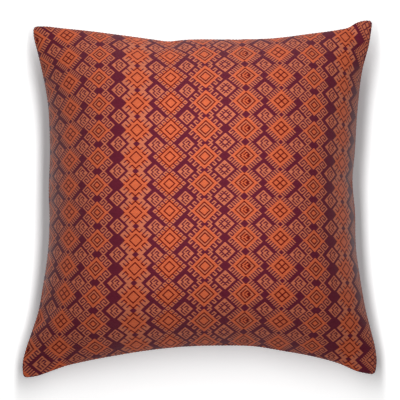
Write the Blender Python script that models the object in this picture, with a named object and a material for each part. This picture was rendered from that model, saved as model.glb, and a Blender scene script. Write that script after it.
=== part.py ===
"""Square cushion cover of woven brocade, filled and lying on its back.

One closed solid: a crowned face, a flatter underside that rests on the surface, and a sewn edge
between them that draws in along each side and runs out to four turned corners.
Metres, +Z up, the face looking up. Blender 4.5.
"""

from typing import NamedTuple

import bpy
import numpy as np

MM = 0.001

# Driving sizes
CUT_SIDE = 450 * MM
SEAM_HEIGHT = 62 * MM
FACE_CROWN = 88 * MM
BACK_CROWN = 78 * MM
TIP_ROUNDING = 4 * MM

# The crown rises from the sewn edge as (1 - f ** CROWN_POWER) ** CROWN_SHOULDER, f from 0 at the middle
CROWN_POWER = 3.4
CROWN_SHOULDER = 0.75
# Shares of the crown: lost at the corners, and by which the filling has slipped towards the bottom side
EAR_FLATTENING = 0.60
FILL_SLIP = 0.03
# The corners hang from the seam's level by this power of nearness to each
CORNER_DROOP_POWER = 4
# The underside turns flat over this share of the seam's height
CONTACT_TURN = 0.15
# The straight distance between two opposite sides at mid length, as a share of the cut
DRAWN_SPAN = 0.82
# The creases fade out where the crown is under this share of its height, so none cuts the sewn edge
CREASE_ONSET = 0.125

GRID_STEPS = 36
ARC_SAMPLES = 240

CLOTH_COLOUR = (0.44, 0.115, 0.075, 1.0)
CLOTH_ROUGHNESS = 0.82


class Corner(NamedTuple):
    """A turned corner of the cover: its place and the height of its tip over the surface."""

    x: float
    y: float
    z: float


class Station(NamedTuple):
    """How far the sewn edge is drawn in from the straight line between two corners."""

    along: float
    drawn_in: float


class Crease(NamedTuple):
    """A soft trough in the cloth, from one place on the face to another, both in edge fractions."""

    from_u: float
    from_v: float
    to_u: float
    to_v: float
    depth: float
    half_width: float


LOW_LEFT = Corner(-218.4 * MM, -218.2 * MM, 34 * MM)
LOW_RIGHT = Corner(217.2 * MM, -214.5 * MM, 36 * MM)
TOP_LEFT = Corner(-208.4 * MM, 222.0 * MM, 38 * MM)
TOP_RIGHT = Corner(216.0 * MM, 228.3 * MM, 46 * MM)

# Left to right along the top and bottom sides, bottom to top along the other two; drawn_in in millimetres
TOP_SIDE = (
    Station(0.00, 0.0),
    Station(0.04, 0.8),
    Station(0.08, 3.5),
    Station(0.15, 7.7),
    Station(0.26, 15.1),
    Station(0.35, 21.3),
    Station(0.40, 24.4),
    Station(0.44, 23.1),
    Station(0.62, 23.5),
    Station(0.70, 22.5),
    Station(0.82, 16.6),
    Station(0.90, 11.8),
    Station(0.93, 8.9),
    Station(0.95, 3.6),
    Station(0.97, 0.7),
    Station(1.00, 0.0),
)
BOTTOM_SIDE = (
    Station(0.00, 0.8),
    Station(0.04, 2.9),
    Station(0.08, 8.5),
    Station(0.12, 14.3),
    Station(0.18, 20.0),
    Station(0.26, 26.1),
    Station(0.35, 31.9),
    Station(0.46, 36.4),
    Station(0.56, 37.3),
    Station(0.66, 35.8),
    Station(0.74, 29.9),
    Station(0.82, 23.3),
    Station(0.90, 13.6),
    Station(0.95, 4.3),
    Station(1.00, 0.0),
)
LEFT_SIDE = (
    Station(0.00, -1.2),
    Station(0.04, -2.0),
    Station(0.08, 1.7),
    Station(0.12, 7.3),
    Station(0.18, 15.6),
    Station(0.26, 21.4),
    Station(0.35, 26.2),
    Station(0.46, 27.2),
    Station(0.50, 26.0),
    Station(0.66, 25.2),
    Station(0.78, 20.7),
    Station(0.86, 13.3),
    Station(0.93, 5.1),
    Station(0.97, 0.3),
    Station(1.00, -0.8),
)
RIGHT_SIDE = (
    Station(0.00, 0.0),
    Station(0.04, -2.0),
    Station(0.08, 0.3),
    Station(0.12, 4.8),
    Station(0.18, 11.6),
    Station(0.26, 17.9),
    Station(0.35, 23.4),
    Station(0.46, 24.6),
    Station(0.54, 27.3),
    Station(0.62, 24.2),
    Station(0.74, 20.2),
    Station(0.86, 13.2),
    Station(0.93, 4.9),
    Station(1.00, 0.0),
)

# Pulls that run from the sewn edge into the face, and the folds of the turned corners; sizes in millimetres
FACE_CREASES = (
    Crease(-0.17, 1.00, -0.13, 0.84, 5.0, 9.0),
    Crease(1.00, 0.06, 0.86, 0.05, 5.0, 9.0),
    Crease(-1.00, -0.01, -0.88, 0.00, 3.5, 9.0),
    Crease(0.85, 1.00, 0.97, 0.86, 6.0, 10.0),
    Crease(0.46, -1.00, 0.42, -0.86, 4.5, 10.0),
    Crease(-0.78, -1.00, -0.70, -0.80, 5.0, 12.0),
    Crease(0.90, -0.98, 0.74, -0.80, 5.0, 12.0),
    Crease(-0.97, -0.66, -0.84, -0.60, 4.0, 12.0),
)


def smooth_read(stations: tuple, along: np.ndarray) -> np.ndarray:
    """Read a side's drawn-in depth, in metres, from a smooth curve through its stations."""
    knots = np.array([station.along for station in stations])
    depths = np.array([station.drawn_in for station in stations]) * MM
    slopes = np.gradient(depths, knots)
    span = np.clip(np.searchsorted(knots, along, side="right") - 1, 0, len(knots) - 2)
    width = knots[span + 1] - knots[span]
    t = (along - knots[span]) / width
    start = (1 + 2 * t) * (1 - t) ** 2 * depths[span] + t * (1 - t) ** 2 * width * slopes[span]
    end = t**2 * (3 - 2 * t) * depths[span + 1] - t**2 * (1 - t) * width * slopes[span + 1]
    return start + end


def sewn_side(start: Corner, end: Corner, stations: tuple, inward: tuple, cut: np.ndarray) -> np.ndarray:
    """Return one sewn side seen from above; cut runs from -1 at its start to 1 at its end."""
    along = (cut + 1) / 2
    first, last = np.array((start.x, start.y)), np.array((end.x, end.y))
    run = (last - first) / np.linalg.norm(last - first)
    across = np.array((-run[1], run[0]))
    across *= np.sign(across @ np.array(inward))
    return first + np.outer(along, last - first) + np.outer(smooth_read(stations, along), across)


def crown(fraction: np.ndarray) -> np.ndarray:
    """Return the rise of the filled cloth between two sides, 0 at the sewn edge and 1 at the middle."""
    return np.clip(1 - np.abs(fraction) ** CROWN_POWER, 0, None) ** CROWN_SHOULDER


def settle(cut: np.ndarray, rise: float) -> np.ndarray:
    """Turn even steps along the cut cloth into fractions of the distance between the two sewn sides.

    The steeper the cloth, the closer its steps lie when seen from above.
    """
    fraction = np.sin(np.linspace(-np.pi / 2, np.pi / 2, ARC_SAMPLES))
    steps = np.hypot(np.diff(fraction * CUT_SIDE * DRAWN_SPAN / 2), np.diff(rise * crown(fraction)))
    arc = np.concatenate(([0.0], np.cumsum(steps)))
    return np.interp(cut, arc / arc[-1] * 2 - 1, fraction)


def edge_fractions() -> tuple:
    """Return the grid of places (U, V) of the cloth's crossings, as fractions between opposite sides."""
    cut = np.linspace(-1, 1, GRID_STEPS + 1)
    middle = settle(cut, FACE_CROWN)
    across = np.array([settle(cut, FACE_CROWN * height) for height in crown(middle)])
    return across, across.T.copy()


def seam_height(u: np.ndarray, v: np.ndarray) -> np.ndarray:
    """Return the height of the sewn edge's level, which sinks towards each corner's tip."""
    height = np.full(u.shape, SEAM_HEIGHT)
    corners = ((LOW_LEFT, -1, -1), (LOW_RIGHT, 1, -1), (TOP_LEFT, -1, 1), (TOP_RIGHT, 1, 1))
    for corner, sign_u, sign_v in corners:
        nearness = (1 + sign_u * u) * (1 + sign_v * v) / 4
        height += (corner.z - SEAM_HEIGHT) * nearness**CORNER_DROOP_POWER
    return height


def blend_sides(u: np.ndarray, v: np.ndarray) -> np.ndarray:
    """Return the sheet of points that the four sewn sides span (a bilinear Coons patch seen from above)."""
    cut = np.linspace(-1, 1, ARC_SAMPLES + 1)
    sides = {
        "bottom": sewn_side(LOW_LEFT, LOW_RIGHT, BOTTOM_SIDE, (0, 1), cut),
        "top": sewn_side(TOP_LEFT, TOP_RIGHT, TOP_SIDE, (0, -1), cut),
        "left": sewn_side(LOW_LEFT, TOP_LEFT, LEFT_SIDE, (1, 0), cut),
        "right": sewn_side(LOW_RIGHT, TOP_RIGHT, RIGHT_SIDE, (-1, 0), cut),
    }
    sheet = np.zeros(u.shape + (3,))
    sheet[..., 2] = seam_height(u, v)
    for axis in range(2):
        bottom, top = (np.interp(u, cut, sides[name][:, axis]) for name in ("bottom", "top"))
        left, right = (np.interp(v, cut, sides[name][:, axis]) for name in ("left", "right"))
        corners = (1 - v) * ((1 - u) * LOW_LEFT[axis] + (1 + u) * LOW_RIGHT[axis]) / 4
        corners += (1 + v) * ((1 - u) * TOP_LEFT[axis] + (1 + u) * TOP_RIGHT[axis]) / 4
        across, along = (1 - v) * bottom + (1 + v) * top, (1 - u) * left + (1 + u) * right
        sheet[..., axis] = (across + along) / 2 - corners
    return sheet


def fill_rise(u: np.ndarray, v: np.ndarray) -> np.ndarray:
    """Return the share of the full crown at each place: less in the corners, and lower towards the top."""
    slipped = np.clip(v + FILL_SLIP * (1 - v**2), -1, 1)
    return crown(u) * crown(slipped) * (1 - EAR_FLATTENING * (u * v) ** 2)


def press_flat(depth: np.ndarray) -> np.ndarray:
    """Return the underside's depth as a share of the seam's height, pressed to 1 where it would pass it."""
    turn = np.clip(depth - 1 + CONTACT_TURN, 0, 2 * CONTACT_TURN)
    return np.where(depth >= 1 + CONTACT_TURN, 1.0, depth - turn**2 / (4 * CONTACT_TURN))


def crease_depth(u: np.ndarray, v: np.ndarray) -> np.ndarray:
    """Return how far the creases sink the face, fading towards the inner end of each."""
    half_span = CUT_SIDE / 2
    depth = np.zeros(u.shape)
    for crease in FACE_CREASES:
        start = np.array((crease.from_u, crease.from_v)) * half_span
        run = np.array((crease.to_u, crease.to_v)) * half_span - start
        offset_u = u * half_span - start[0]
        offset_v = v * half_span - start[1]
        along = np.clip((offset_u * run[0] + offset_v * run[1]) / (run @ run), 0, 1)
        away = np.hypot(offset_u - along * run[0], offset_v - along * run[1])
        width = crease.half_width * MM
        depth += crease.depth * MM * (1 - along) * np.exp(-((away / width) ** 2))
    return depth


def round_tips(sheet: np.ndarray) -> None:
    """Draw the four tips in towards the middle, as cloth turned out over a blunt point leaves them."""
    for row in (0, -1):
        for column in (0, -1):
            inward = -np.sign(sheet[row, column, :2])
            sheet[row, column, :2] += inward * TIP_ROUNDING / np.sqrt(2)


def cover_surfaces() -> tuple:
    """Return the grids of points of the face and of the underside, which share their border."""
    u, v = edge_fractions()
    sheet = blend_sides(u, v)
    round_tips(sheet)
    rise = fill_rise(u, v)
    face = sheet.copy()
    face[..., 2] += FACE_CROWN * rise - crease_depth(u, v) * np.clip(rise / CREASE_ONSET, 0, 1)
    back = sheet.copy()
    back[..., 2] *= 1 - press_flat(BACK_CROWN / SEAM_HEIGHT * rise)
    return face, back


def build_cover() -> bpy.types.Object:
    """Make the cover as one closed mesh, centred over the origin and resting on z = 0."""
    face, back = cover_surfaces()
    centre = (face[..., :2].reshape(-1, 2).max(axis=0) + face[..., :2].reshape(-1, 2).min(axis=0)) / 2
    side = GRID_STEPS + 1
    points = []
    index = {}
    for layer, grid in (("face", face), ("back", back)):
        for row in range(side):
            for column in range(side):
                on_seam = row in (0, side - 1) or column in (0, side - 1)
                if layer == "back" and on_seam:
                    index[layer, row, column] = index["face", row, column]
                    continue
                index[layer, row, column] = len(points)
                x, y, z = grid[row, column]
                points.append((x - centre[0], y - centre[1], z))
    quads = []
    for row in range(GRID_STEPS):
        for column in range(GRID_STEPS):
            ring = ((row, column), (row, column + 1), (row + 1, column + 1), (row + 1, column))
            quads.append([index["face", r, c] for r, c in ring])
            quads.append([index["back", r, c] for r, c in reversed(ring)])
    mesh = bpy.data.meshes.new("cushion_cover")
    mesh.from_pydata(points, [], quads)
    mesh.shade_smooth()
    cover = bpy.data.objects.new("cushion_cover", mesh)
    bpy.context.scene.collection.objects.link(cover)
    return cover


def woven_brocade() -> bpy.types.Material:
    """Make the cloth's plain material, the mean of its orange figure and plum ground."""
    material = bpy.data.materials.new("woven_brocade")
    material.use_nodes = True
    shader = material.node_tree.nodes["Principled BSDF"]
    shader.inputs["Base Color"].default_value = CLOTH_COLOUR
    shader.inputs["Roughness"].default_value = CLOTH_ROUGHNESS
    shader.inputs["Metallic"].default_value = 0.0
    return material


def main() -> None:
    """Clear the scene and build the cover."""
    for old in list(bpy.data.objects):
        bpy.data.objects.remove(old, do_unlink=True)
    cover = build_cover()
    cover.data.materials.append(woven_brocade())


main()
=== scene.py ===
"""Square cushion cover of woven brocade, filled and lying on its back, dressed over its CAD frame.

The cover is one closed cloth form: a brocade face, a plain underside and the sewn edge between them.
Metres, +Z up out of the face, +Y towards the photo's top side.
"""

import logging
from dataclasses import dataclass
from enum import Enum
from typing import NamedTuple

import bpy
import numpy as np
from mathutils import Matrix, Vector, noise


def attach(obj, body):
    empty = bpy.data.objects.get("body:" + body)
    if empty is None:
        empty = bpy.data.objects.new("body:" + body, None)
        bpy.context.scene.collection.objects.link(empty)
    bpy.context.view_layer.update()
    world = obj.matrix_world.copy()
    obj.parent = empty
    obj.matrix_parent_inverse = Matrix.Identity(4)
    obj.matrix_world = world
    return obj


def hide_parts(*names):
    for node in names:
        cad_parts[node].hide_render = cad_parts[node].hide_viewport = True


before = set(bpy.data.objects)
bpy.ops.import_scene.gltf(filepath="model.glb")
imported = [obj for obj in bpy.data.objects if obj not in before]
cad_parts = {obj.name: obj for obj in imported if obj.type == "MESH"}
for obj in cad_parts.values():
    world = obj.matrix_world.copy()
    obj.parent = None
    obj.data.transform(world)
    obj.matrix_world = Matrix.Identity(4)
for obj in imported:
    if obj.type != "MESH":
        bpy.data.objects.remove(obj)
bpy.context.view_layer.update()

CAD_NODE = "cushion_cover"
BODY = "root"

MM = 0.001
CUT_SIDE = 450 * MM
SIDE_SAMPLES = 241

# The weave: one cell of the figure is a weft float two half steps wide and one pick high
HALF_STEP_MM = 1.113
PICK_MM = 1.05
WEAVE_MAP = "weave"

log = logging.getLogger("cushion_cover")


class Corner(NamedTuple):
    """A turned corner of the cover: its place and the height of its tip over the surface."""

    x: float
    y: float
    z: float


class Station(NamedTuple):
    """How far the sewn edge is drawn in, in millimetres, from the straight line between two corners."""

    along: float
    drawn_in: float


class Crease(NamedTuple):
    """A soft trough from one place on the face to another in edge fractions; sizes in millimetres."""

    from_u: float
    from_v: float
    to_u: float
    to_v: float
    depth: float
    half_width: float


class Sheet(Enum):
    """The two panels of the cover, by the place of their material on the mesh."""

    FACE = 0
    BACK = 1


class Side(Enum):
    """The four sewn sides, by the way into the cover seen from above."""

    BOTTOM = (0, 1)
    TOP = (0, -1)
    LEFT = (1, 0)
    RIGHT = (-1, 0)


LOW_LEFT = Corner(-218.4 * MM, -218.2 * MM, 34 * MM)
LOW_RIGHT = Corner(217.2 * MM, -214.5 * MM, 36 * MM)
TOP_LEFT = Corner(-208.4 * MM, 222.0 * MM, 38 * MM)
TOP_RIGHT = Corner(216.0 * MM, 228.3 * MM, 46 * MM)

# Left to right along the top and bottom sides, bottom to top along the other two. The depths were traced on
# the photo's outline.
TOP_SIDE = (
    Station(0.00, 0.0),
    Station(0.04, 0.8),
    Station(0.08, 3.5),
    Station(0.15, 7.7),
    Station(0.26, 15.1),
    Station(0.35, 21.3),
    Station(0.40, 24.4),
    Station(0.44, 23.1),
    Station(0.62, 23.5),
    Station(0.70, 22.5),
    Station(0.82, 16.6),
    Station(0.90, 11.8),
    Station(0.93, 8.9),
    Station(0.95, 3.6),
    Station(0.97, 0.7),
    Station(1.00, 0.0),
)
BOTTOM_SIDE = (
    Station(0.00, 0.8),
    Station(0.04, 2.9),
    Station(0.08, 8.5),
    Station(0.12, 14.3),
    Station(0.18, 20.0),
    Station(0.26, 26.1),
    Station(0.35, 31.9),
    Station(0.46, 36.4),
    Station(0.56, 37.3),
    Station(0.66, 35.8),
    Station(0.74, 29.9),
    Station(0.82, 23.3),
    Station(0.90, 13.6),
    Station(0.95, 4.3),
    Station(1.00, 0.0),
)
LEFT_SIDE = (
    Station(0.00, -1.2),
    Station(0.04, -2.0),
    Station(0.08, 1.7),
    Station(0.12, 7.3),
    Station(0.18, 15.6),
    Station(0.26, 21.4),
    Station(0.35, 26.2),
    Station(0.46, 27.2),
    Station(0.50, 26.0),
    Station(0.66, 25.2),
    Station(0.78, 20.7),
    Station(0.86, 13.3),
    Station(0.93, 5.1),
    Station(0.97, 0.3),
    Station(1.00, -0.8),
)
RIGHT_SIDE = (
    Station(0.00, 0.0),
    Station(0.04, -2.0),
    Station(0.08, 0.3),
    Station(0.12, 4.8),
    Station(0.18, 11.6),
    Station(0.26, 17.9),
    Station(0.35, 23.4),
    Station(0.46, 24.6),
    Station(0.54, 27.3),
    Station(0.62, 24.2),
    Station(0.74, 20.2),
    Station(0.86, 13.2),
    Station(0.93, 4.9),
    Station(1.00, 0.0),
)

# Pulls that run from the sewn edge into the face, and the folds of the turned corners
FACE_CREASES = (
    Crease(-0.17, 1.00, -0.13, 0.84, 5.0, 9.0),
    Crease(1.00, 0.06, 0.86, 0.05, 5.0, 9.0),
    Crease(-1.00, -0.01, -0.88, 0.00, 3.5, 9.0),
    Crease(0.86, 1.00, 0.97, 0.80, 6.0, 5.5),
    Crease(0.46, -1.00, 0.42, -0.86, 4.5, 10.0),
    Crease(-0.78, -1.00, -0.70, -0.80, 5.0, 12.0),
    Crease(0.90, -0.98, 0.74, -0.80, 5.0, 12.0),
    Crease(-0.97, -0.66, -0.84, -0.60, 4.0, 12.0),
)


@dataclass(frozen=True)
class SewnSide:
    """One sewn side seen from above, from its start corner to its end corner."""

    start: Corner
    end: Corner
    stations: tuple[Station, ...]
    side: Side
    smooth_order: int = 6

    def drawn_in(self, along: np.ndarray) -> np.ndarray:
        """Read how far the edge is drawn in from a smooth curve through the stations.

        Args:
            along: places from 0 at the start corner to 1 at the end corner.

        Returns:
            The depth at each place, in metres.
        """
        knots = np.array([station.along for station in self.stations])
        depths = np.array([station.drawn_in for station in self.stations]) * MM
        slopes = np.gradient(depths, knots)
        span = np.clip(np.searchsorted(knots, along, side="right") - 1, 0, len(knots) - 2)
        width = knots[span + 1] - knots[span]
        t = (along - knots[span]) / width
        start = (1 + 2 * t) * (1 - t) ** 2 * depths[span] + t * (1 - t) ** 2 * width * slopes[span]
        end = t**2 * (3 - 2 * t) * depths[span + 1] - t**2 * (1 - t) * width * slopes[span + 1]
        return start + end

    def even_draw(self, along: np.ndarray) -> np.ndarray:
        """Read the side's broad draw alone, without its notches.

        Args:
            along: places from 0 at the start corner to 1 at the end corner.

        Returns:
            The depth of an even curve of the same bow, in metres, with the side's own ends.
        """
        places = np.linspace(0, 1, SIDE_SAMPLES)
        full = self.drawn_in(places)
        ends = full[0] + (full[-1] - full[0]) * places
        waves = np.stack([np.sin(np.pi * k * places) for k in range(1, self.smooth_order)], axis=1)
        weights, *_ = np.linalg.lstsq(waves, full - ends, rcond=None)
        return np.interp(along, places, ends + waves @ weights)

    def points(self, cut: np.ndarray, drawn: np.ndarray) -> np.ndarray:
        """Place the side's points in the plane.

        Args:
            cut: places along the cut cloth, -1 at the start corner and 1 at the end corner.
            drawn: how far each is drawn in, in metres.

        Returns:
            One row of x and y for each place.
        """
        along = (cut + 1) / 2
        first = np.array((self.start.x, self.start.y))
        last = np.array((self.end.x, self.end.y))
        run = (last - first) / np.linalg.norm(last - first)
        across = np.array((-run[1], run[0]))
        across *= np.sign(across @ np.array(self.side.value))
        return first + np.outer(along, last - first) + np.outer(drawn, across)


SIDES = {
    Side.BOTTOM: SewnSide(LOW_LEFT, LOW_RIGHT, BOTTOM_SIDE, Side.BOTTOM),
    Side.TOP: SewnSide(TOP_LEFT, TOP_RIGHT, TOP_SIDE, Side.TOP),
    Side.LEFT: SewnSide(LOW_LEFT, TOP_LEFT, LEFT_SIDE, Side.LEFT),
    Side.RIGHT: SewnSide(LOW_RIGHT, TOP_RIGHT, RIGHT_SIDE, Side.RIGHT),
}


@dataclass(frozen=True)
class CoverShape:
    """The filled cover's form: two panels cut square, sewn all round and swollen by the filling."""

    seam_height: float = 62 * MM
    face_crown: float = 88 * MM
    back_crown: float = 78 * MM
    tip_rounding: float = 5.5 * MM
    crown_power: float = 3.4
    crown_shoulder: float = 0.75
    ear_flattening: float = 0.60
    fill_slip: float = 0.03
    corner_droop_power: int = 4
    contact_turn: float = 0.15
    drawn_span: float = 0.82
    crease_onset: float = 0.125
    notch_reach: int = 10
    grid_steps: int = 144
    arc_samples: int = 240
    seam_rows: tuple[float, ...] = (0.8 * MM, 1.8 * MM)

    def cut_lines(self) -> np.ndarray:
        """Space the cut cloth's grid lines, with close ones beside the sewn edge.

        Returns:
            The places of the lines, from -1 to 1.
        """
        close = np.array(self.seam_rows) / (CUT_SIDE / 2)
        even = np.linspace(-1, 1, self.grid_steps + 1)
        return np.sort(np.concatenate((even, 1 - close, close - 1)))

    def crown(self, fraction: np.ndarray) -> np.ndarray:
        """Return the rise of the filled cloth between two sides, 0 at the sewn edge and 1 at the middle."""
        return np.clip(1 - np.abs(fraction) ** self.crown_power, 0, None) ** self.crown_shoulder

    def settle(self, cut: np.ndarray, rise: float) -> np.ndarray:
        """Turn even steps along the cut cloth into fractions of the distance between the two sewn sides.

        Args:
            cut: places along the cut cloth, -1 to 1.
            rise: the height of the crown that the cloth passes over, in metres.

        Returns:
            The fraction, -1 to 1, at which each place lies seen from above.
        """
        fraction = np.sin(np.linspace(-np.pi / 2, np.pi / 2, self.arc_samples))
        flat = fraction * CUT_SIDE * self.drawn_span / 2
        steps = np.hypot(np.diff(flat), np.diff(rise * self.crown(fraction)))
        arc = np.concatenate(([0.0], np.cumsum(steps)))
        return np.interp(cut, arc / arc[-1] * 2 - 1, fraction)

    def edge_fractions(self) -> tuple[np.ndarray, np.ndarray]:
        """Find where the cloth's crossings lie between opposite sides.

        Returns:
            One grid of fractions from left to right, and one from bottom to top.
        """
        cut = self.cut_lines()
        middle = self.settle(cut, self.face_crown)
        across = np.array([self.settle(cut, self.face_crown * height) for height in self.crown(middle)])
        return across, across.T.copy()

    def seam_level(self, u: np.ndarray, v: np.ndarray) -> np.ndarray:
        """Find the sewn edge's level, which sinks towards each corner's tip.

        Args:
            u: fractions from the left side to the right.
            v: fractions from the bottom side to the top.

        Returns:
            The height at each place, in metres.
        """
        height = np.full(u.shape, self.seam_height)
        corners = ((LOW_LEFT, -1, -1), (LOW_RIGHT, 1, -1), (TOP_LEFT, -1, 1), (TOP_RIGHT, 1, 1))
        for corner, sign_u, sign_v in corners:
            nearness = (1 + sign_u * u) * (1 + sign_v * v) / 4
            height += (corner.z - self.seam_height) * nearness**self.corner_droop_power
        return height

    def blend_sides(self, u: np.ndarray, v: np.ndarray) -> np.ndarray:
        """Span the four sewn sides with a sheet, whose notches stay near the side that has them.

        Args:
            u: fractions from the left side to the right.
            v: fractions from the bottom side to the top.

        Returns:
            The grid of points at the sewn edge's level.
        """
        cut = np.linspace(-1, 1, SIDE_SAMPLES)
        along = (cut + 1) / 2
        even = {side: sewn.points(cut, sewn.even_draw(along)) for side, sewn in SIDES.items()}
        full = {side: sewn.points(cut, sewn.drawn_in(along)) for side, sewn in SIDES.items()}
        sheet = np.zeros(u.shape + (3,))
        sheet[..., 2] = self.seam_level(u, v)
        for axis in range(2):
            bottom, top = (np.interp(u, cut, even[side][:, axis]) for side in (Side.BOTTOM, Side.TOP))
            left, right = (np.interp(v, cut, even[side][:, axis]) for side in (Side.LEFT, Side.RIGHT))
            low, high = even[Side.BOTTOM][:, axis], even[Side.TOP][:, axis]
            corners = (1 - v) * ((1 - u) * low[0] + (1 + u) * low[-1]) / 4
            corners += (1 + v) * ((1 - u) * high[0] + (1 + u) * high[-1]) / 4
            across, rising = (1 - v) * bottom + (1 + v) * top, (1 - u) * left + (1 + u) * right
            sheet[..., axis] = (across + rising) / 2 - corners
            for side, place, nearness in (
                (Side.BOTTOM, u, (1 - v) / 2),
                (Side.TOP, u, (1 + v) / 2),
                (Side.LEFT, v, (1 - u) / 2),
                (Side.RIGHT, v, (1 + u) / 2),
            ):
                notch = np.interp(place, cut, (full[side] - even[side])[:, axis])
                sheet[..., axis] += notch * nearness**self.notch_reach
        return sheet

    def fill_rise(self, u: np.ndarray, v: np.ndarray) -> np.ndarray:
        """Return the share of the full crown at each place: less in the corners, lower towards the top."""
        slipped = np.clip(v + self.fill_slip * (1 - v**2), -1, 1)
        return self.crown(u) * self.crown(slipped) * (1 - self.ear_flattening * (u * v) ** 2)

    def press_flat(self, depth: np.ndarray) -> np.ndarray:
        """Press the underside level where it would pass the surface that it rests on.

        Args:
            depth: the underside's depth as a share of the seam's height.

        Returns:
            The same shares, eased to 1 where they would pass it.
        """
        turn = np.clip(depth - 1 + self.contact_turn, 0, 2 * self.contact_turn)
        eased = depth - turn**2 / (4 * self.contact_turn)
        return np.where(depth >= 1 + self.contact_turn, 1.0, eased)

    def crease_depth(self, u: np.ndarray, v: np.ndarray) -> np.ndarray:
        """Return how far the creases sink the face, fading towards the inner end of each.

        Args:
            u: fractions from the left side to the right.
            v: fractions from the bottom side to the top.

        Returns:
            The depth at each place, in metres.
        """
        half_span = CUT_SIDE / 2
        depth = np.zeros(u.shape)
        for crease in FACE_CREASES:
            start = np.array((crease.from_u, crease.from_v)) * half_span
            run = np.array((crease.to_u, crease.to_v)) * half_span - start
            offset_u, offset_v = u * half_span - start[0], v * half_span - start[1]
            along = np.clip((offset_u * run[0] + offset_v * run[1]) / (run @ run), 0, 1)
            away = np.hypot(offset_u - along * run[0], offset_v - along * run[1])
            depth += crease.depth * MM * (1 - along) * np.exp(-((away / (crease.half_width * MM)) ** 2))
        return depth

    def round_tips(self, u: np.ndarray, v: np.ndarray) -> tuple[np.ndarray, np.ndarray]:
        """Turn the four square tips into rounded ones, as cloth turned out over a blunt point has them.

        Args:
            u: fractions from the left side to the right.
            v: fractions from the bottom side to the top.

        Returns:
            The same fractions, drawn in near each tip so that the border runs round it.
        """
        reach = self.tip_rounding / (CUT_SIDE / 2)
        near_u = np.clip((np.abs(u) - 1 + reach) / reach, 0, 1)
        near_v = np.clip((np.abs(v) - 1 + reach) / reach, 0, 1)
        drawn_u = reach * near_u * (1 - np.sqrt(1 - near_v**2 / 2))
        drawn_v = reach * near_v * (1 - np.sqrt(1 - near_u**2 / 2))
        return u - np.sign(u) * drawn_u, v - np.sign(v) * drawn_v

    def panels(self) -> dict[Sheet, np.ndarray]:
        """Shape both panels, centred over the origin and resting on z = 0.

        Returns:
            For each panel its grid of points, row by row from the bottom side; they share their border.
        """
        u, v = self.edge_fractions()
        sheet = self.blend_sides(*self.round_tips(u, v))
        rise = self.fill_rise(u, v)
        face = sheet.copy()
        creased = self.crease_depth(u, v) * np.clip(rise / self.crease_onset, 0, 1)
        face[..., 2] += self.face_crown * rise - creased
        back = sheet.copy()
        back[..., 2] *= 1 - self.press_flat(self.back_crown / self.seam_height * rise)
        flat = face[..., :2].reshape(-1, 2)
        centre = (flat.max(axis=0) + flat.min(axis=0)) / 2
        for panel in (face, back):
            panel[..., :2] -= centre
        return {Sheet.FACE: face, Sheet.BACK: back}


class Drift(NamedTuple):
    """How the filling pulls the weave out of square: an amount times u and v, each to a power."""

    power_u: int
    power_v: int
    amount: float


@dataclass(frozen=True)
class WeaveLay:
    """Where the weave lies on the cut cloth, in half steps to the right and picks towards the top.

    The amounts are the rounded terms of a least-squares fit to the photo's motif centres.
    """

    half_steps: tuple[Drift, ...] = (
        Drift(0, 0, -3.1),
        Drift(1, 0, 208.5),
        Drift(2, 0, -6.9),
        Drift(3, 0, -7.8),
        Drift(4, 0, 8.8),
        Drift(1, 1, -3.6),
        Drift(3, 1, 4.8),
        Drift(4, 1, 3.6),
        Drift(3, 2, 12.6),
        Drift(4, 2, 4.9),
        Drift(2, 3, -9.3),
        Drift(1, 4, -13.2),
        Drift(0, 5, 5.5),
    )
    picks: tuple[Drift, ...] = (
        Drift(0, 0, -2.0),
        Drift(0, 1, 223.5),
        Drift(0, 3, -26.0),
        Drift(2, 0, -8.5),
        Drift(3, 0, 5.4),
        Drift(1, 1, -3.8),
        Drift(2, 1, 4.0),
        Drift(4, 2, 20.3),
        Drift(1, 3, -7.6),
        Drift(2, 3, 17.8),
        Drift(3, 3, 16.4),
        Drift(1, 4, -4.4),
        Drift(2, 4, -14.9),
    )

    def place(self, u: np.ndarray, v: np.ndarray) -> tuple[np.ndarray, np.ndarray]:
        """Return the half steps and picks, from the middle motif, at cut places u and v from -1 to 1."""
        return self.total(self.half_steps, u, v), self.total(self.picks, u, v)

    def total(self, drifts: tuple[Drift, ...], u: np.ndarray, v: np.ndarray) -> np.ndarray:
        """Return the sum of the drifts at cut places u and v."""
        return sum(drift.amount * u**drift.power_u * v**drift.power_v for drift in drifts)


def linear(code: str) -> tuple[float, float, float, float]:
    """Turn an sRGB colour code into linear values.

    Args:
        code: the colour, such as "#e07048".

    Returns:
        Linear red, green, blue and alpha.
    """
    shares = [int(code[start : start + 2], 16) / 255 for start in (1, 3, 5)]
    turned = [s / 12.92 if s <= 0.04045 else ((s + 0.055) / 1.055) ** 2.4 for s in shares]
    return (*turned, 1.0)


def add_node(
    tree: bpy.types.NodeTree, kind: str, links: dict | tuple = (), **settings: object
) -> bpy.types.Node:
    """Add one node to a tree, with its settings, its links and the values of its other inputs.

    Args:
        tree: the tree that gets the node.
        kind: the node's type name.
        links: a wire, a socket or a plain value for each input, by name or place, or in order.
        settings: the node's own properties.

    Returns:
        The new node.
    """
    node = tree.nodes.new(kind)
    for name, value in settings.items():
        setattr(node, name, value)
    for key, value in links.items() if isinstance(links, dict) else enumerate(links):
        source = value.socket if isinstance(value, Wire) else value
        if isinstance(source, bpy.types.NodeSocket):
            tree.links.new(source, node.inputs[key])
        else:
            node.inputs[key].default_value = source
    return node


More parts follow.
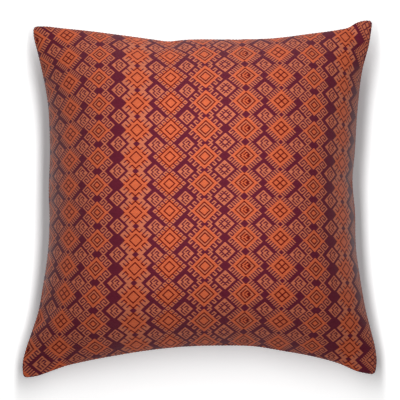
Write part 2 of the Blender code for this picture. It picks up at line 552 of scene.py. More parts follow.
@dataclass(frozen=True)
class Wire:
    """A number that flows between shader nodes, so that sums on it read as sums."""

    tree: bpy.types.NodeTree
    socket: bpy.types.NodeSocket

    def math(self, operation: str, *others: "Wire | float") -> "Wire":
        """Return the result of one Math node on this number and the others."""
        node = add_node(self.tree, "ShaderNodeMath", (self, *others), operation=operation)
        return Wire(self.tree, node.outputs[0])

    def __add__(self, other: "Wire | float") -> "Wire":
        """Return the sum."""
        return self.math("ADD", other)

    def __sub__(self, other: "Wire | float") -> "Wire":
        """Return the difference."""
        return self.math("SUBTRACT", other)

    def __mul__(self, other: "Wire | float") -> "Wire":
        """Return the product."""
        return self.math("MULTIPLY", other)

    def __truediv__(self, other: "Wire | float") -> "Wire":
        """Return the quotient."""
        return self.math("DIVIDE", other)

    def __mod__(self, other: "Wire | float") -> "Wire":
        """Return the remainder, never negative."""
        return self.math("FLOORED_MODULO", other)

    def __abs__(self) -> "Wire":
        """Return the size without its sign."""
        return self.math("ABSOLUTE")

    def floor(self) -> "Wire":
        """Return the whole number below."""
        return self.math("FLOOR")

    def less_from(self, whole: float) -> "Wire":
        """Return whole minus this number."""
        return (self * -1.0) + whole

    def clamp(self, low: float, high: float) -> "Wire":
        """Return the number kept between low and high."""
        return self.math("MAXIMUM", low).math("MINIMUM", high)

    def over(self, limit: "Wire | float") -> "Wire":
        """Return 1 where the number is over the limit, else 0."""
        return self.math("GREATER_THAN", limit)

    def under(self, limit: "Wire | float") -> "Wire":
        """Return 1 where the number is under the limit, else 0."""
        return self.math("LESS_THAN", limit)

    def is_whole(self, value: float) -> "Wire":
        """Return 1 where the whole number is this value, else 0."""
        return self.math("COMPARE", value, 0.25)


def split(tree: bpy.types.NodeTree, vector: object) -> tuple[Wire, Wire, Wire]:
    """Return the three numbers of a colour or vector socket."""
    node = add_node(tree, "ShaderNodeSeparateXYZ", (vector,))
    return tuple(Wire(tree, output) for output in node.outputs)


def mix_colours(tree: bpy.types.NodeTree, share: Wire | float, first: object, second: object) -> object:
    """Return the socket of a mix of two colours, first at share 0 and second at share 1."""
    node = add_node(tree, "ShaderNodeMix", {0: share, 6: first, 7: second}, data_type="RGBA")
    return node.outputs[2]


def step_ramp(tree: bpy.types.NodeTree, place: Wire, stops: list[tuple[float, tuple]]) -> object:
    """Read a stepped table by place.

    Args:
        tree: the tree that gets the table.
        place: where to read, 0 to 1.
        stops: the start of each step and its three values, in order, the first at 0.

    Returns:
        The socket with the three values.
    """
    node = add_node(tree, "ShaderNodeValToRGB", {0: place})
    ramp = node.color_ramp
    ramp.interpolation = "CONSTANT"
    while len(ramp.elements) > 1:
        ramp.elements.remove(ramp.elements[-1])
    ramp.elements[0].position = 0.0
    ramp.elements[0].color = (*stops[0][1], 1.0)
    for start, values in stops[1:]:
        ramp.elements.new(start).color = (*values, 1.0)
    return node.outputs[0]


ALL = tuple(range(-9, 9))


@dataclass(frozen=True)
class Motif:
    """One column's motif, charted on one quarter: rings from its centre, each with its figure cells.

    A cell's ring is the larger of its two diagonal distances from the centre; its place on the ring
    runs from below zero, beside the centre, to above zero, over it. The other quarters mirror it.
    """

    centre: int
    first: int
    rings: dict[int, tuple[int, ...]]
    lift: int = 0
    thin_ring: int = -1


@dataclass(frozen=True)
class Diamond:
    """A small diamond between two columns, or a motif's middle, charted whole from its top corner down."""

    rows: tuple[str, ...]


# A column's repeat is 32 picks high, and the six columns repeat after 244 half steps
ROW_REPEAT = 32
COLUMN_REPEAT = 244
COLUMN_START = 99
TEETH = (-7, -5, -3, -1, 1, 3, 5)
TRIPLE_TEETH = (-9, -8, -7, -5, -4, -3, -1, 0, 1, 3, 4, 5, 7, 8)
EVEN_TEETH = (-6, -4, -2, 0, 2, 4, 6)
HOOKS = (-6, -5, -3, -2, 0, 1, 3, 4, 5)
# Past the last hooked column the cloth ends in one large comb column, half a repeat out of step with it
COMB_FROM = 187
COMB_EDGE = 190.5
COMB_SHIFT = 30
COMB_CELLS = 8
HOOKED_CENTRE = 167
COMB_TEETH = (-9, -7, -5, -3, -1, 1, 3, 5, 7)
COMB_BEADS = (-4, -3, -2, 0, 1, 2, 4, 5, 6, 8)

MOTIFS = (
    Motif(
        centre=22,
        first=0,
        rings={
            **{ring: ALL for ring in (0, 1, 2, 4, 5)},
            6: (-6, -5, 0, 1),
            **{ring: HOOKS for ring in (7, 8, 9)},
            10: (-6, -5, -4, -3, -2, 0, 1, 2, 3, 4, 5),
            11: (-6, -5, -4, -3, -2, 0, 1, 2, 3, 4),
        },
    ),
    Motif(
        centre=60,
        first=42,
        lift=1,
        rings={
            **{ring: ALL for ring in (0, 1, 2, 4, 5)},
            **{ring: TRIPLE_TEETH for ring in (7, 8, 9)},
        },
    ),
    Motif(
        centre=99,
        first=80,
        thin_ring=4,
        rings={
            **{ring: ALL for ring in (0, 1, 2, 4, 6, 7)},
            8: (-7, -2, 3),
            **{ring: (-7, -5, -2, 0, 3, 5) for ring in (9, 10)},
            11: (-7, -6, -5, -2, -1, 0, 3, 4, 5),
        },
    ),
    Motif(
        centre=143,
        first=122,
        thin_ring=4,
        rings={
            4: ALL,
            **{ring: ALL[:-3] for ring in (6, 7)},
            8: (-7, -3, -1, 1, 3, 5),
            **{ring: TEETH for ring in (9, 10)},
            11: (-7, -6, -5, -3, -1, 1, 3, 5),
        },
    ),
    Motif(
        centre=182,
        first=163,
        lift=1,
        rings={
            **{ring: ALL[:9] + ALL[10:] for ring in (1, 2, 3)},
            **{ring: ALL for ring in (5, 6)},
            **{ring: EVEN_TEETH for ring in (7, 8, 9, 10)},
        },
    ),
    Motif(
        centre=221,
        first=202,
        thin_ring=3,
        rings={
            **{ring: ALL for ring in (0, 1, 3, 5, 6)},
            7: (-6, 0),
            8: (-6, -4, -3, -2, 0, 2, 3, 4),
            **{ring: (-6, -4, -2, 0, 2, 4) for ring in (9, 10)},
            11: (-6, -2, 0, 4),
            12: (-6, -5, -4, -3, -2, 0, 1, 2, 3, 4),
        },
    ),
    Motif(
        centre=285,
        first=244,
        lift=16,
        rings={
            **{ring: ALL for ring in (4, 5, 8, 14)},
            **{ring: COMB_BEADS for ring in (10, 11, 12)},
            **{ring: COMB_TEETH for ring in (15, 16, 17)},
        },
    ),
)

KEY_DIAMOND = Diamond(
    (
        "#########",
        "#.#...###",
        "#.#.#.###",
        "#.#.#...#",
        "#.#######",
        "#...#...#",
        "###.#####",
        "###.....#",
        "#########",
    )
)
STAR_DIAMOND = Diamond(
    (
        "###########",
        "###.#.#.###",
        "###.#.#.###",
        "#.........#",
        "###.###.###",
        "#...###...#",
        "###.###.###",
        "#.........#",
        "###.#.#.###",
        "###.#.#.###",
        "###########",
    )
)
WHIRL_MIDDLE = Diamond(
    (
        ".#....#",
        ".#.#...",
        ".#.#...",
        ".#.###.",
        ".##....",
        "..#####",
        "#......",
    )
)
WHIRL_COLUMN = 3
SQUARES_COLUMN = 1
COMB_COLUMN = 6


class Between(NamedTuple):
    """A diamond's place between two columns: where it starts to be the nearest, its centre and its kind."""

    first: int
    centre: int
    is_star: bool


# A diamond stands this many picks over the motifs; stars, and those where two repeats meet, one pick more
DIAMOND_RISE = 15
BETWEEN_COLUMNS = (
    Between(0, 1, False),
    Between(22, 44, False),
    Between(60, 78, False),
    Between(99, 121, True),
    Between(143, 164, False),
    Between(182, 200, False),
    Between(221, 245, False),
)


@dataclass(frozen=True)
class WovenFigure:
    """The charts turned into stepped tables that the cloth's material reads cell by cell."""

    tree: bpy.types.NodeTree
    ring_bits: int = 20
    low_cell: int = -10
    diamond_bits: int = 13
    diamond_reach: int = 6
    rows: int = 32
    columns: int = 255
    last_column: float = 250.0
    code: int = 512
    kinds: int = 8
    group_size: int = 3
    last_ring: int = 18
    first_thin_ring: int = 8
    whirl_rings: float = 3.5
    inside_rings: float = 6.5
    squares_ring: int = 8
    squares_apart: float = 4.0

    def ring_value(self, motif: Motif, ring: int) -> float:
        """Pack one ring's cells, and whether its lines are thin, into one number.

        Args:
            motif: the motif that has the ring.
            ring: the ring's number from the motif's centre.

        Returns:
            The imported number, under 1.
        """
        cells = sum(2 ** (cell - self.low_cell) for cell in motif.rings.get(ring, ()))
        thin = ring == motif.thin_ring or ring >= self.first_thin_ring
        return (cells + thin * 2 ** (self.ring_bits - 1)) / 2**self.ring_bits

    def diamond_value(self, diamond: Diamond, row: int) -> float:
        """Pack one row of a diamond's cells into one number.

        Args:
            diamond: the diamond's chart.
            row: the row, 0 in the middle and above zero over it.

        Returns:
            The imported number, under 1.
        """
        half = len(diamond.rows) // 2
        if abs(row) > half:
            return 0.0
        marks = diamond.rows[half - row]
        cells = [half - place for place, mark in enumerate(marks) if mark == "#"]
        return sum(2 ** (cell + self.diamond_reach) for cell in cells) / 2**self.diamond_bits

    def read_bit(self, packed: Wire, bits: int, cell: Wire) -> Wire:
        """Read one cell's bit from a packed number.

        Args:
            packed: the number, under 1.
            bits: how many bits it holds.
            cell: which bit, from 0.

        Returns:
            1 where the bit is set, else 0.
        """
        exponent = add_node(self.tree, "ShaderNodeMath", (2.0, cell), operation="POWER")
        power = Wire(self.tree, exponent.outputs[0])
        return ((packed * float(2**bits) + 0.5) / power).floor() % 2.0

    def wrapped(self, pick: Wire) -> Wire:
        """Return a pick's distance from the nearest row of motifs, below zero under it."""
        return (pick + ROW_REPEAT / 2) % float(ROW_REPEAT) - ROW_REPEAT / 2

    def read(self, brick: Wire, pick: Wire) -> dict[str, Wire]:
        """Read what one cell of the weave is.

        Args:
            brick: the half step of the cell's middle.
            pick: the cell's pick.

        Returns:
            By name, 1 or 0 for: figure, thin line, worn middle of a square, and inside a motif's rings.
        """
        along = brick + float(COLUMN_START)
        beyond = (brick + abs(self.wrapped(pick))).over(COMB_EDGE)
        in_comb = brick.over(COMB_FROM - 0.5).math("MAXIMUM", beyond * brick.over(HOOKED_CENTRE + 0.5))
        repeated = along % float(COLUMN_REPEAT)
        column = repeated + (along - float(COMB_SHIFT) - repeated) * in_comb
        place = (column.math("MINIMUM", self.last_column) + 0.5) / float(self.columns)
        column_stops = [
            (
                max(0.0, (motif.first - 0.5) / self.columns),
                (motif.centre / self.code, kind / self.kinds, motif.lift / ROW_REPEAT),
            )
            for kind, motif in enumerate(MOTIFS)
        ]
        centre, kind, lift = split(self.tree, step_ramp(self.tree, place, column_stops))
        centre, kind = centre * float(self.code), kind * float(self.kinds)
        lift = lift * float(ROW_REPEAT)
        aside = abs(column - centre)
        above = abs(self.wrapped(pick - lift))
        ring = ((aside + above) / 2.0).floor()
        cell = ((above - aside) / 2.0).floor() + kind.over(COMB_COLUMN - 0.5) * float(COMB_CELLS)
        row_place = (ring.clamp(0.0, float(self.last_ring)) + 0.5) / float(self.rows)
        tables = []
        size = self.group_size
        for group in (MOTIFS[:size], MOTIFS[size : 2 * size], MOTIFS[2 * size :] * size):
            stops = [
                (row / self.rows, tuple(self.ring_value(motif, row) for motif in group))
                for row in range(self.last_ring + 1)
            ]
            tables.append(step_ramp(self.tree, row_place, stops))
        near = mix_colours(self.tree, kind.over(size - 0.5), tables[0], tables[1])
        shares = split(self.tree, mix_colours(self.tree, kind.over(COMB_COLUMN - 0.5), near, tables[2]))
        which = kind % float(size)
        packed = shares[0] * which.is_whole(0) + shares[1] * which.is_whole(1) + shares[2] * which.is_whole(2)
        bit = (cell - self.low_cell).clamp(0.0, self.ring_bits - 2.0)
        in_rings = self.read_bit(packed, self.ring_bits, bit)
        thin_ring = (packed * 2.0).floor()
        middle = kind.is_whole(WHIRL_COLUMN) * ring.under(self.whirl_rings)
        diamond, whirl = self.read_diamonds(column, pick, place, centre, middle)
        diamond = diamond * brick.under(HOOKED_CENTRE + 0.5)
        squares = kind.is_whole(SQUARES_COLUMN) * ring.is_whole(self.squares_ring)
        return {
            "figure": in_rings.math("MAXIMUM", diamond),
            "thin": thin_ring.math("MAXIMUM", diamond * whirl.less_from(1.0)),
            "worn": squares * (cell % self.squares_apart).under(0.5),
            "inside": ring.under(self.inside_rings),
        }

    def read_diamonds(
        self, column: Wire, pick: Wire, place: Wire, centre: Wire, middle: Wire
    ) -> tuple[Wire, Wire]:
        """Read the diamond between the columns, or the whirl in a motif's middle.

        Args:
            column: the cell's half step.
            pick: the cell's pick.
            place: where the column stands in its table.
            centre: the half step of the column's own centre.
            middle: 1 where the cell belongs to the whirl, else 0.

        Returns:
            1 where the cell is figure, and 1 where it is the whirl's.
        """
        stops = [
            (
                max(0.0, (between.first - 0.5) / self.columns),
                (between.centre / self.code, float(between.is_star), 0.0),
            )
            for between in BETWEEN_COLUMNS
        ]
        gap_centre, star, _ = split(self.tree, step_ramp(self.tree, place, stops))
        gap_centre = gap_centre * float(self.code)
        early = gap_centre.under(BETWEEN_COLUMNS[0].centre + 0.5)
        late = gap_centre.over(COLUMN_REPEAT + 0.5)
        higher = star.math("MAXIMUM", early).math("MAXIMUM", late)
        raised = (higher + float(DIAMOND_RISE)) * middle.less_from(1.0)
        chosen = gap_centre + (centre - gap_centre) * middle
        aside = column - chosen
        above = self.wrapped(pick - raised)
        row = ((above + aside) / 2.0).floor()
        cell = ((above - aside) / 2.0).floor()
        last_cell = 2.0 * self.diamond_reach
        row_place = ((row + float(self.diamond_reach)).clamp(0.0, last_cell) + 0.5) / float(self.rows)
        row_stops = [
            (
                step / self.rows,
                tuple(
                    self.diamond_value(diamond, step - self.diamond_reach)
                    for diamond in (KEY_DIAMOND, STAR_DIAMOND, WHIRL_MIDDLE)
                ),
            )
            for step in range(self.diamond_bits)
        ]
        key, star_row, whirl_row = split(self.tree, step_ramp(self.tree, row_place, row_stops))
        outside = key + (star_row - key) * star
        packed = outside + (whirl_row - outside) * middle
        bit = (cell + float(self.diamond_reach)).clamp(0.0, last_cell)
        return self.read_bit(packed, self.diamond_bits, bit), middle


@dataclass(frozen=True)
class BrocadeFinish:
    """Thick lustrous cotton wefts in orange over a fine plum ground, as a hand loom lays them."""

    solid: str = "#be5b3a"
    fine: str = "#b66449"
    worn: str = "#5a1a10"
    ground: str = "#662232"
    inner_ground: str = "#701c18"
    roughness: float = 0.6
    gloss_ior: float = 1.5
    along_yarn: float = 0.6
    yarn_turn: float = 0.25
    float_height: float = 0.22 * MM
    bump_strength: float = 0.8
    end_roundness: float = 0.35
    side_roundness: float = 0.92
    rib_height: float = 0.45
    # Painted shade: the colour is scaled by the floor plus the gain times the yarn's height, so it is darker
    # where the yarn lies low
    painted_shade_gain: float = 0.45
    painted_shade_floor: float = 0.62
    yarn_variation: float = 0.16
    pick_variation: float = 0.08

    def material(self) -> bpy.types.Material:
        """Make the brocade's material, which reads the weave's map.

        Returns:
            The material: it gives the eye stepped orange figures standing proud of a dark ribbed ground, with
                shade painted into its colour in the hollows between the yarns.
        """
        material = bpy.data.materials.new("woven_cotton_brocade")
        material.use_nodes = True
        tree = material.node_tree
        shader = tree.nodes["Principled BSDF"]
        uv = add_node(tree, "ShaderNodeUVMap", uv_map=WEAVE_MAP)
        across, up, _ = split(tree, uv.outputs[0])
        half_step, pick_place = across / HALF_STEP_MM, up / PICK_MM
        pick = (pick_place + 0.5).floor()
        parity = pick % 2.0
        brick = ((half_step - parity) / 2.0 + 0.5).floor() * 2.0 + parity
        cell = WovenFigure(tree).read(brick, pick)
        across_brick, up_brick = half_step - brick, (pick_place - pick) * 2.0
        colour = self.tone(tree, cell, brick, pick)
        relief = self.relief(cell["figure"], across_brick, up_brick, half_step, pick_place)
        # Painted shade: the colour is darkened where the yarn lies low, between the floats and in the
        # ground's ribs, and lifted a little on the floats' crowns; the gloss tint gets the same painted shade
        shade = relief.clamp(0.0, 1.0) * self.painted_shade_gain + self.painted_shade_floor
        painted_shade_colour = add_node(tree, "ShaderNodeVectorMath", {0: colour, 3: shade}, operation="SCALE")
        height = relief * self.float_height
        lift = {"Height": height, "Distance": 1.0, "Strength": self.bump_strength}
        bump = add_node(tree, "ShaderNodeBump", lift)
        tangent = add_node(tree, "ShaderNodeTangent", direction_type="UV_MAP", uv_map=WEAVE_MAP)
        tree.links.new(painted_shade_colour.outputs[0], shader.inputs["Base Color"])
        tree.links.new(painted_shade_colour.outputs[0], shader.inputs["Specular Tint"])
        tree.links.new(bump.outputs[0], shader.inputs["Normal"])
        tree.links.new(tangent.outputs[0], shader.inputs["Tangent"])
        shader.inputs["Roughness"].default_value = self.roughness
        shader.inputs["IOR"].default_value = self.gloss_ior
        shader.inputs["Specular IOR Level"].default_value = 1.0
        shader.inputs["Anisotropic"].default_value = self.along_yarn
        shader.inputs["Anisotropic Rotation"].default_value = self.yarn_turn
        return material

    def tone(self, tree: bpy.types.NodeTree, cell: dict[str, Wire], brick: Wire, pick: Wire) -> object:
        """Colour one cell of the weave, each float a little lighter or darker than its neighbours.

        Args:
            tree: the material's tree.
            cell: what the cell is, from WovenFigure.read.
            brick: the half step of the cell's middle.
            pick: the cell's pick.

        Returns:
            The socket of its colour.
        """
        ground = mix_colours(tree, cell["inside"], linear(self.ground), linear(self.inner_ground))
        figure = mix_colours(tree, cell["thin"], linear(self.solid), linear(self.fine))
        cloth = mix_colours(tree, cell["figure"], ground, figure)
        cloth = mix_colours(tree, cell["worn"], cloth, linear(self.worn))
        spot = add_node(tree, "ShaderNodeCombineXYZ", (brick, pick, 0.0))
        yarn = add_node(tree, "ShaderNodeTexWhiteNoise", {"Vector": spot.outputs[0]}, noise_dimensions="2D")
        weft = add_node(tree, "ShaderNodeTexWhiteNoise", {"W": pick}, noise_dimensions="1D")
        gain = (Wire(tree, yarn.outputs["Value"]) - 0.5) * self.yarn_variation
        gain = gain + (Wire(tree, weft.outputs["Value"]) - 0.5) * self.pick_variation + 1.0
        return add_node(tree, "ShaderNodeVectorMath", {0: cloth, 3: gain}, operation="SCALE").outputs[0]

    def relief(self, figure: Wire, across: Wire, up: Wire, half_step: Wire, pick_place: Wire) -> Wire:
        """Work out how far the yarn stands up: rounded floats in the figure, fine ribs in the ground.

        Args:
            figure: 1 where the cell is figure, else 0.
            across: the distance from the cell's middle across the cloth, -1 to 1.
            up: the distance from the cell's middle up the cloth, -1 to 1.
            half_step: the place across the cloth, in half steps.
            pick_place: the place up the cloth, in picks.

        Returns:
            The height as a share of a whole float's.
        """
        bar = (across * across).less_from(1.0).math("MAXIMUM", 0.0).math("POWER", self.end_roundness)
        round_yarn = (up * up * self.side_roundness).less_from(1.0).math("MAXIMUM", 0.0).math("SQRT")
        ribs = abs((half_step * np.pi).math("SINE")) * abs((pick_place * np.pi * 2.0).math("SINE"))
        ground = ribs * self.rib_height
        return ground + (bar * round_yarn - ground) * figure


@dataclass(frozen=True)
class PlainClothFinish:
    """A plain dark cotton for the underside, in the brocade's ground colour."""

    colour: str = "#5a2430"
    roughness: float = 0.9
    thread_pitch_mm: float = 0.7
    thread_height: float = 0.08 * MM
    bump_strength: float = 0.7
    gloss: float = 0.2

    def material(self) -> bpy.types.Material:
        """Make the plain cloth's material.

        Returns:
            The material: it gives the eye a quiet, fine plain weave.
        """
        material = bpy.data.materials.new("plain_plum_cotton")
        material.use_nodes = True
        tree = material.node_tree
        shader = tree.nodes["Principled BSDF"]
        uv = add_node(tree, "ShaderNodeUVMap", uv_map=WEAVE_MAP)
        across, up, _ = split(tree, uv.outputs[0])
        warp = (across * (np.pi / self.thread_pitch_mm)).math("SINE")
        weft = (up * (np.pi / self.thread_pitch_mm)).math("SINE")
        height = warp * weft * self.thread_height
        lift = {"Height": height, "Distance": 1.0, "Strength": self.bump_strength}
        bump = add_node(tree, "ShaderNodeBump", lift)
        tree.links.new(bump.outputs[0], shader.inputs["Normal"])
        shader.inputs["Base Color"].default_value = linear(self.colour)
        shader.inputs["Roughness"].default_value = self.roughness
        shader.inputs["Specular IOR Level"].default_value = self.gloss
        return material


@dataclass(frozen=True)
class PlainFinish:
    """One even colour, for the sewing thread and the floor, which may be lit from below."""

    name: str
    colour: str
    roughness: float
    glow: float = 0.0

    def material(self) -> bpy.types.Material:
        """Make the material.

        Returns:
            The material: it gives the eye one even, matt colour.
        """
        material = bpy.data.materials.new(self.name)
        material.use_nodes = True
        shader = material.node_tree.nodes["Principled BSDF"]
        shader.inputs["Base Color"].default_value = linear(self.colour)
        shader.inputs["Roughness"].default_value = self.roughness
        shader.inputs["Emission Color"].default_value = linear(self.colour)
        shader.inputs["Emission Strength"].default_value = self.glow
        return material


@dataclass(frozen=True)
class SeamPuckers:
    """Small ripples that the sewing leaves beside the edge, and the filling's soft unevenness."""

    ripple_height: float = 1.1 * MM
    ripple_pitch: float = 15 * MM
    ripple_reach: float = 22 * MM
    lump_height: float = 1.6 * MM
    lump_pitch: float = 85 * MM
    calm_margin: float = 4 * MM
    seed: float = 3.7
    side_apart: float = 11.3
    sheet_apart: float = 9.0
    fine_share: float = 0.5
    fine_scale: float = 2.1

    def ripple(self, along: float, side: int) -> float:
        """Return the ripple, about -1 to 1, at a place along one side in metres."""
        here = Vector((along / self.ripple_pitch, side * self.side_apart, self.seed))
        return noise.noise(here) + self.fine_share * noise.noise(here * self.fine_scale)

    def offsets(self, cut: np.ndarray, sheet: Sheet) -> np.ndarray:
        """Work out how far each place of a panel stands off its smooth form.

        Args:
            cut: the cut cloth's grid lines, -1 to 1.
            sheet: which panel.

        Returns:
            The offset of each grid place along the cloth's own way out, in metres.
        """
        half = CUT_SIDE / 2
        places = cut * half
        to_edge = half - np.abs(places)
        near = np.exp(-to_edge / self.ripple_reach)
        offsets = np.zeros((len(cut), len(cut)))
        for side, ends in enumerate((0, -1)):
            sign = -1 if ends == 0 else 1
            beside = np.where(np.sign(places) == sign, near, 0.0)
            rows = np.array([self.ripple(place, side + 2 * sheet.value) for place in places])
            columns = np.array([self.ripple(place, side + 5 + 2 * sheet.value) for place in places])
            offsets += self.ripple_height * np.outer(beside, rows)
            offsets += self.ripple_height * np.outer(columns, beside)
        for row, v in enumerate(places):
            for column, u in enumerate(places):
                depth = self.seed + sheet.value * self.sheet_apart
                here = Vector((u / self.lump_pitch, v / self.lump_pitch, depth))
                offsets[row, column] += self.lump_height * noise.noise(here)
        calm = np.clip(to_edge / self.calm_margin, 0, 1)
        offsets *= np.minimum.outer(calm, calm)
        return offsets


@dataclass
class CoverCloth:
    """The closed cover itself: both panels in one mesh, with the weave's map on it."""

    shape: CoverShape
    lay: WeaveLay
    puckers: SeamPuckers
    face_finish: BrocadeFinish
    back_finish: PlainClothFinish
    rest_tolerance: float = 0.05 * MM

    def wavy_panels(self) -> dict[Sheet, np.ndarray]:
        """Ripple both panels, with the sewn edge left where it is.

        Returns:
            For each panel its grid of points.
        """
        panels = self.shape.panels()
        cut = self.shape.cut_lines()
        for sheet, grid in panels.items():
            across = np.gradient(grid, axis=1)
            rising = np.gradient(grid, axis=0)
            out = np.cross(across, rising)
            out /= np.linalg.norm(out, axis=2, keepdims=True) + 1e-12
            if sheet is Sheet.BACK:
                out = -out
            lifted = grid + out * self.puckers.offsets(cut, sheet)[..., None]
            lifted[..., 2] = np.clip(lifted[..., 2], 0, None)
            if sheet is Sheet.BACK:
                flat = grid[..., 2] < self.rest_tolerance
                lifted[flat, 2] = 0.0
            panels[sheet] = lifted
        return panels

    def build(self) -> bpy.types.Object:
        """Build the cover's mesh.

        Returns:
            The object, with the face's and the back's materials and its weave map.
        """
        panels = self.wavy_panels()
        side = panels[Sheet.FACE].shape[0]
        numbers = {Sheet.FACE: np.arange(side * side).reshape(side, side)}
        inner = np.zeros((side, side), dtype=bool)
        inner[1:-1, 1:-1] = True
        back_numbers = numbers[Sheet.FACE].copy()
        back_numbers[inner] = side * side + np.arange(inner.sum())
        numbers[Sheet.BACK] = back_numbers
        points = np.concatenate((panels[Sheet.FACE].reshape(-1, 3), panels[Sheet.BACK][inner]))
        quads = []
        for sheet in Sheet:
            grid = numbers[sheet]
            ring = [grid[:-1, :-1], grid[:-1, 1:], grid[1:, 1:], grid[1:, :-1]]
            ordered = ring if sheet is Sheet.FACE else ring[::-1]
            quads.append(np.stack(ordered, axis=-1).reshape(-1, 4))
        mesh = bpy.data.meshes.new("cover_cloth")
        mesh.from_pydata(points.tolist(), [], np.concatenate(quads).tolist())
        mesh.materials.append(self.face_finish.material())
        mesh.materials.append(self.back_finish.material())
        mesh.polygons.foreach_set("material_index", np.repeat([s.value for s in Sheet], len(quads[0])))
        mesh.shade_smooth()
        self.lay_weave(mesh, side)
        cover = bpy.data.objects.new("cover_cloth", mesh)
        bpy.context.scene.collection.objects.link(cover)
        return cover

    def lay_weave(self, mesh: bpy.types.Mesh, side: int) -> None:
        """Write the weave's map, in millimetres of flat cloth, at every corner of every quad.

        Args:
            mesh: the cover's mesh.
            side: how many grid lines each panel has each way.
        """
        cut = self.shape.cut_lines()
        u, v = np.meshgrid(cut, cut)
        half_step, pick = self.lay.place(u, v)
        flat = np.stack((half_step * HALF_STEP_MM, pick * PICK_MM), axis=-1).reshape(-1, 2)
        inner = np.zeros((side, side), dtype=bool)
        inner[1:-1, 1:-1] = True
        by_vertex = np.concatenate((flat, flat[inner.reshape(-1)]))
        corners = np.zeros(len(mesh.loops), dtype=np.int64)
        mesh.loops.foreach_get("vertex_index", corners)
        layer = mesh.uv_layers.new(name=WEAVE_MAP)
        layer.data.foreach_set("uv", by_vertex[corners].astype(np.float32).reshape(-1))


@dataclass
class SeamStitches:
    """The run of sewing thread that shows along the sewn edge."""

    pitch: float = 4.0 * MM
    length: float = 2.9 * MM
    thread: float = 0.5 * MM
    uneven: float = 0.12
    grain_segments: int = 8
    grain_rings: int = 6
    seed: int = 11
    finish: PlainFinish = PlainFinish("polyester_sewing_thread", "#6a2c2c", 0.6)

    def tree(self) -> bpy.types.NodeTree:
        """Build the node tree that lays a stitch at every pitch along a closed path.

        Returns:
            The tree, with its pitch, length, thread, unevenness, seed and material as named inputs.
        """
        tree = bpy.data.node_groups.new("seam_stitches", "GeometryNodeTree")
        for name, kind in (
            ("Path", "NodeSocketGeometry"),
            ("Pitch", "NodeSocketFloat"),
            ("Length", "NodeSocketFloat"),
            ("Thread", "NodeSocketFloat"),
            ("Uneven", "NodeSocketFloat"),
            ("Seed", "NodeSocketInt"),
            ("Material", "NodeSocketMaterial"),
        ):
            tree.interface.new_socket(name, in_out="INPUT", socket_type=kind)
        tree.interface.new_socket("Stitches", in_out="OUTPUT", socket_type="NodeSocketGeometry")
        given = add_node(tree, "NodeGroupInput").outputs
        path = add_node(tree, "GeometryNodeMeshToCurve", {"Mesh": given["Path"]})
        even = add_node(
            tree,
            "GeometryNodeResampleCurve",
            {"Curve": path.outputs[0], "Length": given["Pitch"]},
            mode="LENGTH",
        )
        ball = {"Segments": self.grain_segments, "Rings": self.grain_rings, "Radius": 0.5}
        grain = add_node(tree, "GeometryNodeMeshUVSphere", ball)
        tangent = add_node(tree, "GeometryNodeInputTangent")
        turn = add_node(tree, "FunctionNodeAlignRotationToVector", {"Vector": tangent.outputs[0]}, axis="Z")
        most = add_node(tree, "ShaderNodeMath", (given["Uneven"], 1.0), operation="ADD")
        least = add_node(tree, "ShaderNodeMath", (1.0, given["Uneven"]), operation="SUBTRACT")
        spread = add_node(
            tree,
            "FunctionNodeRandomValue",
            {2: least.outputs[0], 3: most.outputs[0], "Seed": given["Seed"]},
            data_type="FLOAT",
        )
        long = add_node(tree, "ShaderNodeMath", (given["Length"], spread.outputs[1]), operation="MULTIPLY")
        size = add_node(tree, "ShaderNodeCombineXYZ", (given["Thread"], given["Thread"], long.outputs[0]))
        laid = add_node(
            tree,
            "GeometryNodeInstanceOnPoints",
            {
                "Points": even.outputs[0],
                "Instance": grain.outputs[0],
                "Rotation": turn.outputs[0],
                "Scale": size.outputs[0],
            },
        )
        real = add_node(tree, "GeometryNodeRealizeInstances", {0: laid.outputs[0]})
        done = add_node(
            tree, "GeometryNodeSetMaterial", {"Geometry": real.outputs[0], "Material": given["Material"]}
        )
        add_node(tree, "NodeGroupOutput", (done.outputs[0],))
        return tree

    def build(self, edge: np.ndarray) -> bpy.types.Object:
        """Sew along the edge and keep the result as a plain mesh.

        Args:
            edge: the closed run of points along the sewn edge.

        Returns:
            The stitches as one object.
        """
        path = bpy.data.meshes.new("sewn_path")
        pairs = [(place, (place + 1) % len(edge)) for place in range(len(edge))]
        path.from_pydata(edge.tolist(), pairs, [])
        carrier = bpy.data.objects.new("sewn_path", path)
        bpy.context.scene.collection.objects.link(carrier)
        modifier = carrier.modifiers.new("stitches", "NODES")
        modifier.node_group = self.tree()
        values = {
            "Pitch": self.pitch,
            "Length": self.length,
            "Thread": self.thread,
            "Uneven": self.uneven,
            "Seed": self.seed,
            "Material": self.finish.material(),
        }
        for item in modifier.node_group.interface.items_tree:
            if item.item_type == "SOCKET" and item.name in values:
                modifier[item.identifier] = values[item.name]
        depsgraph = bpy.context.evaluated_depsgraph_get()
        plain = bpy.data.meshes.new_from_object(carrier.evaluated_get(depsgraph))
        plain.name = "seam_stitches"
        plain.shade_smooth()
        bpy.data.objects.remove(carrier, do_unlink=True)
        stitches = bpy.data.objects.new("seam_stitches", plain)
        bpy.context.scene.collection.objects.link(stitches)
        return stitches


@dataclass(frozen=True)
class StudioFloor:
    """The plain pale surface that the cover lies on."""

    half_side: float = 6.0
    finish: PlainFinish = PlainFinish("opal_light_table", "#fbfbfb", 0.95, glow=0.3)

    def build(self) -> bpy.types.Object:
        """Build the floor as one flat square with its top at z = 0.

        Returns:
            The floor.
        """
        reach = self.half_side
        corners = [(-reach, -reach, 0), (reach, -reach, 0), (reach, reach, 0), (-reach, reach, 0)]
        mesh = bpy.data.meshes.new("studio_floor")
        mesh.from_pydata(corners, [], [(0, 1, 2, 3)])
        mesh.materials.append(self.finish.material())
        floor = bpy.data.objects.new("studio_floor", mesh)
        bpy.context.scene.collection.objects.link(floor)
        return floor


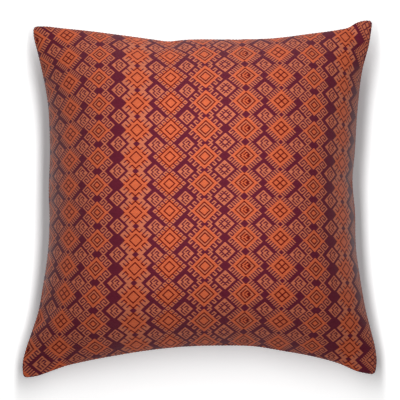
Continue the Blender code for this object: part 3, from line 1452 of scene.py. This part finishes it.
@dataclass(frozen=True)
class Lamp:
    """One soft lamp with a long and a short side, aimed at a point."""

    name: str
    place: tuple[float, float, float]
    width: float
    length: float
    power: float
    aim: tuple[float, float, float] = (0.0, 0.0, 0.07)

    def build(self) -> bpy.types.Object:
        """Build the lamp as an area light.

        Returns:
            The lamp.
        """
        data = bpy.data.lights.new(self.name, "AREA")
        data.shape = "RECTANGLE"
        data.size = self.width
        data.size_y = self.length
        data.energy = self.power
        lamp = bpy.data.objects.new(self.name, data)
        lamp.location = self.place
        lamp.rotation_euler = (Vector(self.aim) - Vector(self.place)).to_track_quat("-Z", "Y").to_euler()
        bpy.context.scene.collection.objects.link(lamp)
        return lamp


@dataclass(frozen=True)
class StudioLight:
    """One narrow strip softbox low over the cover, and a weak even light all round."""

    lamps: tuple[Lamp, ...] = (Lamp("strip_softbox", (0.0, 0.16, 0.68), 0.16, 1.5, 9.0),)
    sky: float = 0.04

    def build(self) -> None:
        """Hang the lamps and set the even light all round."""
        world = bpy.data.worlds.new("studio_light")
        bpy.context.scene.world = world
        world.use_nodes = True
        world.node_tree.nodes["Background"].inputs["Color"].default_value = (1.0, 1.0, 1.0, 1.0)
        world.node_tree.nodes["Background"].inputs["Strength"].default_value = self.sky
        for lamp in self.lamps:
            lamp.build()


@dataclass(frozen=True)
class PhotoCamera:
    """The photo's camera: far off with a long lens, almost square over the face."""

    tilt: float = 5.5
    distance: float = 3.6
    target: tuple[float, float, float] = (0.00053, -0.00557, 0.075)
    lens: float = 262.3
    sensor: float = 36.0
    clip_end: float = 50.0

    def build(self) -> bpy.types.Object:
        """Place the camera and make it the scene's.

        Returns:
            The camera.
        """
        data = bpy.data.cameras.new("photo_camera")
        data.lens = self.lens
        data.sensor_width = self.sensor
        data.clip_end = self.clip_end
        lean = np.radians(self.tilt)
        away = Vector((0.0, -np.sin(lean), np.cos(lean)))
        camera = bpy.data.objects.new("photo_camera", data)
        camera.location = Vector(self.target) + away * self.distance
        camera.rotation_euler = away.to_track_quat("Z", "Y").to_euler()
        bpy.context.scene.collection.objects.link(camera)
        bpy.context.scene.camera = camera
        return camera


def sewn_edge(panel: np.ndarray) -> np.ndarray:
    """Return the closed run of points round a panel's border."""
    return np.concatenate((panel[0, :-1], panel[:-1, -1], panel[-1, :0:-1], panel[:0:-1, 0]))


def main() -> None:
    """Build the cover, its stitches and the studio, and tell the frame what rides on what."""
    logging.basicConfig(level=logging.INFO, format="%(name)s: %(message)s")
    cloth = CoverCloth(CoverShape(), WeaveLay(), SeamPuckers(), BrocadeFinish(), PlainClothFinish())
    cover = cloth.build()
    log.info("cover cloth: %d faces", len(cover.data.polygons))
    stitches = SeamStitches().build(sewn_edge(cloth.shape.panels()[Sheet.FACE]))
    log.info("seam stitches: %d faces", len(stitches.data.polygons))
    floor = StudioFloor().build()
    log.info("studio floor")
    StudioLight().build()
    log.info("studio light")
    PhotoCamera().build()
    log.info("photo camera")
    bpy.context.scene.view_settings.view_transform = "Standard"
    for piece in (cover, stitches):
        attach(piece, BODY)
    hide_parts(CAD_NODE)


if __name__ == "__main__":
    main()
